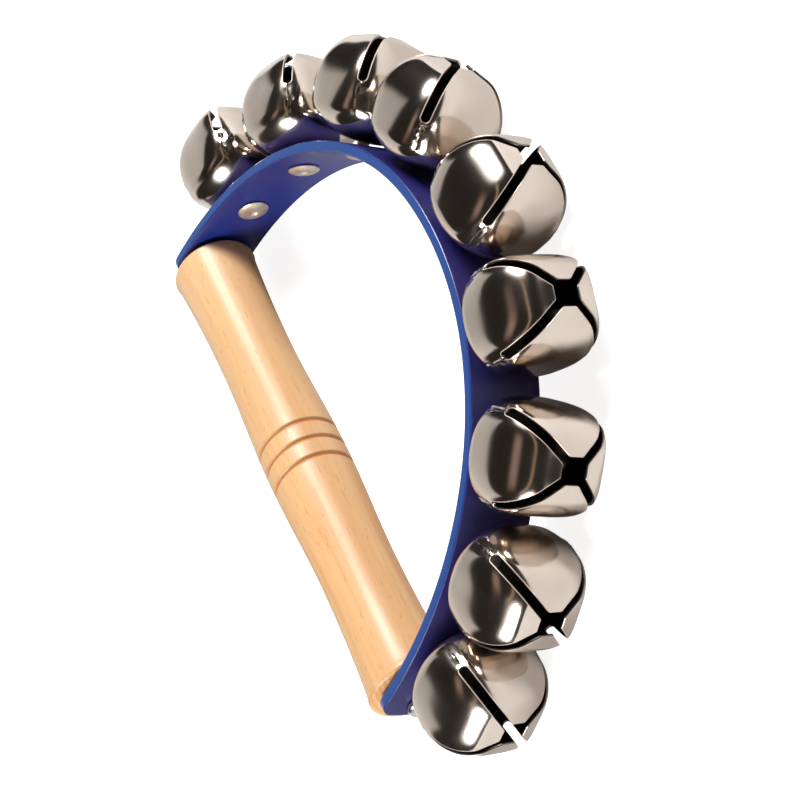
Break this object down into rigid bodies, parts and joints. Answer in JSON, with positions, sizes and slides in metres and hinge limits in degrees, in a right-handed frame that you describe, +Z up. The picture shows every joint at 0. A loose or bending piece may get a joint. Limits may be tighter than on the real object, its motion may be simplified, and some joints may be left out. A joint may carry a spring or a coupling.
{
  "type": "jingle ring",
  "caption": "Hand-held jingle ring: a turned wooden grip across a D-shaped plastic strap with a row of riveted jingle bells, each with a loose pellet inside.",
  "frame": {"origin": "on the table under the middle of the whole ring, which lies flat on its bells", "axes": "+X from the grip towards the crown of the strap, +Y along the grip, +Z up, across the strap's width"},
  "size_m": [0.1206, 0.1986, 0.0295],
  "materials": {
    "grip_wood": "turned beech under clear gloss lacquer",
    "strap_plastic": "smooth glossy blue plastic",
    "bell_nickel": "polished nickel plate, lightly crimped at the slot ends",
    "rivet_nickel": "nickel plate, slightly dull",
    "pellet_steel": "plain steel ball",
    "screw_steel": "bright zinc plate"
  },
  "bodies": {
    "ring": {"grip": "grip_wood", "strap": "strap_plastic", "handle_screw_upper": "screw_steel", "handle_screw_lower": "screw_steel", "bell_1": "bell_nickel", "bell_2": "bell_nickel", "bell_3": "bell_nickel", "bell_4": "bell_nickel", "bell_5": "bell_nickel", "bell_6": "bell_nickel", "bell_7": "bell_nickel", "bell_8": "bell_nickel", "bell_9": "bell_nickel", "rivet_1": "rivet_nickel", "rivet_2": "rivet_nickel", "rivet_3": "rivet_nickel", "rivet_4": "rivet_nickel", "rivet_5": "rivet_nickel", "rivet_6": "rivet_nickel", "rivet_7": "rivet_nickel", "rivet_8": "rivet_nickel", "rivet_9": "rivet_nickel"},
    "loose_pellet_1": {"pellet_1": "pellet_steel"},
    "loose_pellet_2": {"pellet_2": "pellet_steel"},
    "loose_pellet_3": {"pellet_3": "pellet_steel"},
    "loose_pellet_4": {"pellet_4": "pellet_steel"},
    "loose_pellet_5": {"pellet_5": "pellet_steel"},
    "loose_pellet_6": {"pellet_6": "pellet_steel"},
    "loose_pellet_7": {"pellet_7": "pellet_steel"},
    "loose_pellet_8": {"pellet_8": "pellet_steel"},
    "loose_pellet_9": {"pellet_9": "pellet_steel"}
  },
  "joints": [
    {"name": "pellet_1_roll", "type": "hinge", "parent": "ring", "child": "loose_pellet_1", "pos_m": [-0.02346, 0.07971, 0.01343], "axis": [0.2021, 0.9782, 0.0471], "continuous": true},
    {"name": "pellet_2_roll", "type": "hinge", "parent": "ring", "child": "loose_pellet_2", "pos_m": [0.00225, 0.06857, 0.01248], "axis": [0.4876, 0.8687, -0.0872], "continuous": true},
    {"name": "pellet_3_roll", "type": "hinge", "parent": "ring", "child": "loose_pellet_3", "pos_m": [0.02464, 0.04881, 0.01241], "axis": [0.8183, 0.5664, -0.0976], "continuous": true},
    {"name": "pellet_4_roll", "type": "hinge", "parent": "ring", "child": "loose_pellet_4", "pos_m": [0.03697, 0.02577, 0.01268], "axis": [0.9561, 0.287, -0.0593], "continuous": true},
    {"name": "pellet_5_roll", "type": "hinge", "parent": "ring", "child": "loose_pellet_5", "pos_m": [0.04067, -0.00427, 0.01285], "axis": [0.9963, -0.079, -0.0349], "continuous": true},
    {"name": "pellet_6_roll", "type": "hinge", "parent": "ring", "child": "loose_pellet_6", "pos_m": [0.03392, -0.03222, 0.01363], "axis": [0.8896, -0.4505, 0.075], "continuous": true},
    {"name": "pellet_7_roll", "type": "hinge", "parent": "ring", "child": "loose_pellet_7", "pos_m": [0.01655, -0.05629, 0.01361], "axis": [0.5817, -0.8103, 0.0715], "continuous": true},
    {"name": "pellet_8_roll", "type": "hinge", "parent": "ring", "child": "loose_pellet_8", "pos_m": [-0.00665, -0.07176, 0.01311], "axis": [0.2952, -0.9554, 0.0017], "continuous": true},
    {"name": "pellet_9_roll", "type": "hinge", "parent": "ring", "child": "loose_pellet_9", "pos_m": [-0.0318, -0.07946, 0.01253], "axis": [0.1637, -0.9832, -0.0802], "continuous": true}
  ]
}
